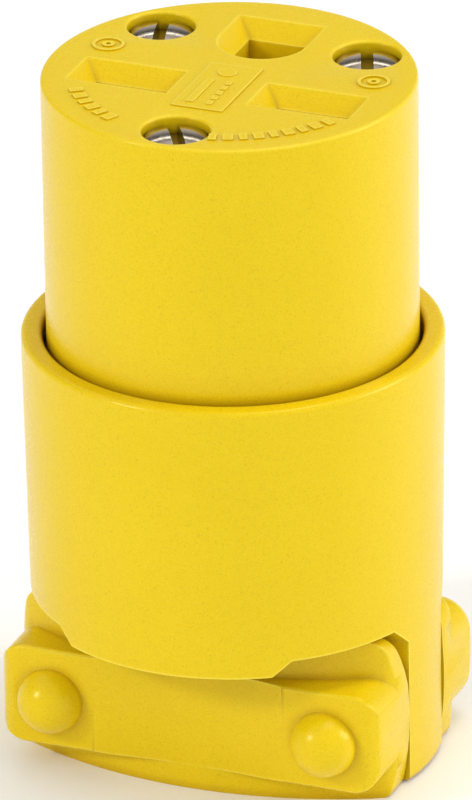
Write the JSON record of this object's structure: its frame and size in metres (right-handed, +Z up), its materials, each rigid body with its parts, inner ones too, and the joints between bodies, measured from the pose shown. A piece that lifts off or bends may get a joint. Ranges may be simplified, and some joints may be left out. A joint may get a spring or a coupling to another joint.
{
  "type": "cord connector body",
  "caption": "Round yellow female cord connector: three sockets in the face, long assembly screws, wire terminals, and a pair of jaws that clamp the cord.",
  "frame": {"origin": "centre of the foot, on the surface that the connector stands on", "axes": "+Z up to the socket face, X along the two line slots, +Y from the line slots towards the ground socket"},
  "size_m": [0.0402, 0.0402, 0.0689],
  "materials": {
    "yellow_shell": "fine-grained satin moulded vinyl, yellow right through",
    "dark_insulator": "dull black moulded insulator",
    "brass": "bright stamped brass strip",
    "zinc_steel": "bright zinc-plated steel, turned marks",
    "green_screw": "green-dyed plated steel"
  },
  "bodies": {
    "sleeve": {"sleeve": "yellow_shell"},
    "front_body": {"front_body": "yellow_shell", "rear_insulator": "dark_insulator", "line_contact_right": "brass", "line_contact_left": "brass", "ground_contact": "brass"},
    "assembly_screw_1": {"assembly_screw_1": "zinc_steel"},
    "assembly_screw_2": {"assembly_screw_2": "zinc_steel"},
    "assembly_screw_3": {"assembly_screw_3": "zinc_steel"},
    "pressure_plate_left": {"pressure_plate_left": "zinc_steel"},
    "terminal_screw_left": {"terminal_screw_left": "zinc_steel"},
    "pressure_plate_right": {"pressure_plate_right": "zinc_steel"},
    "terminal_screw_right": {"terminal_screw_right": "zinc_steel"},
    "pressure_plate_ground": {"pressure_plate_ground": "zinc_steel"},
    "terminal_screw_ground": {"terminal_screw_ground": "green_screw"},
    "rear_clamp": {"rear_clamp": "yellow_shell"},
    "front_clamp": {"front_clamp": "yellow_shell", "clamp_nut_left": "zinc_steel", "clamp_nut_right": "zinc_steel"},
    "clamp_screw_left": {"clamp_screw_left": "zinc_steel"},
    "clamp_screw_right": {"clamp_screw_right": "zinc_steel"}
  },
  "joints": [
    {"name": "body_draws_out", "type": "slide", "parent": "sleeve", "child": "front_body", "axis": [0, 0, 1], "range_m": [0, 0.00635]},
    {"name": "assembly_screw_1_turn", "type": "hinge", "parent": "front_body", "child": "assembly_screw_1", "pos_m": [-0.01043, 0.00891, 0.0653], "axis": [0, 0, 1], "range_deg": [0, 2880]},
    {"name": "assembly_screw_2_turn", "type": "hinge", "parent": "front_body", "child": "assembly_screw_2", "pos_m": [0.01043, 0.00891, 0.0653], "axis": [0, 0, 1], "range_deg": [0, 2880]},
    {"name": "assembly_screw_3_turn", "type": "hinge", "parent": "front_body", "child": "assembly_screw_3", "pos_m": [0, -0.01355, 0.0653], "axis": [0, 0, 1], "range_deg": [0, 2880]},
    {"name": "pressure_plate_left_lift", "type": "slide", "parent": "front_body", "child": "pressure_plate_left", "axis": [-1, 0, 0], "range_m": [0, 0.00198]},
    {"name": "terminal_screw_left_turn", "type": "hinge", "parent": "pressure_plate_left", "child": "terminal_screw_left", "pos_m": [-0.0114, -0.00311, 0.036], "axis": [-1, 0, 0], "range_deg": [0, 900]},
    {"name": "pressure_plate_right_lift", "type": "slide", "parent": "front_body", "child": "pressure_plate_right", "axis": [1, 0, 0], "range_m": [0, 0.00198]},
    {"name": "terminal_screw_right_turn", "type": "hinge", "parent": "pressure_plate_right", "child": "terminal_screw_right", "pos_m": [0.0114, -0.00311, 0.036], "axis": [1, 0, 0], "range_deg": [0, 900]},
    {"name": "pressure_plate_ground_lift", "type": "slide", "parent": "front_body", "child": "pressure_plate_ground", "axis": [0, 1, 0], "range_m": [0, 0.00198]},
    {"name": "terminal_screw_ground_turn", "type": "hinge", "parent": "pressure_plate_ground", "child": "terminal_screw_ground", "pos_m": [0, 0.012, 0.036], "axis": [0, 1, 0], "range_deg": [0, 900]},
    {"name": "rear_clamp_open", "type": "slide", "parent": "sleeve", "child": "rear_clamp", "axis": [0, 1, 0], "range_m": [0, 0.00317]},
    {"name": "front_clamp_open", "type": "slide", "parent": "sleeve", "child": "front_clamp", "axis": [0, -1, 0], "range_m": [0, 0.00317]},
    {"name": "clamp_screw_left_turn", "type": "hinge", "parent": "rear_clamp", "child": "clamp_screw_left", "pos_m": [-0.01394, 0.0107, 0.00732], "axis": [0, 1, 0], "range_deg": [0, 2880]},
    {"name": "clamp_screw_right_turn", "type": "hinge", "parent": "rear_clamp", "child": "clamp_screw_right", "pos_m": [0.01394, 0.0107, 0.00732], "axis": [0, 1, 0], "range_deg": [0, 2880]}
  ],
  "couplings": [
    {"joint": "assembly_screw_1_turn", "follows": "body_draws_out", "rad_per_m": 7915.8},
    {"joint": "assembly_screw_2_turn", "follows": "body_draws_out", "rad_per_m": 7915.8},
    {"joint": "assembly_screw_3_turn", "follows": "body_draws_out", "rad_per_m": 7915.8},
    {"joint": "terminal_screw_left_turn", "follows": "pressure_plate_left_lift", "rad_per_m": 7915.8},
    {"joint": "terminal_screw_right_turn", "follows": "pressure_plate_right_lift", "rad_per_m": 7915.8},
    {"joint": "terminal_screw_ground_turn", "follows": "pressure_plate_ground_lift", "rad_per_m": 7915.8},
    {"joint": "clamp_screw_left_turn", "follows": "rear_clamp_open", "rad_per_m": 15832},
    {"joint": "clamp_screw_right_turn", "follows": "rear_clamp_open", "rad_per_m": 15832},
    {"joint": "front_clamp_open", "follows": "rear_clamp_open", "ratio": 1}
  ]
}
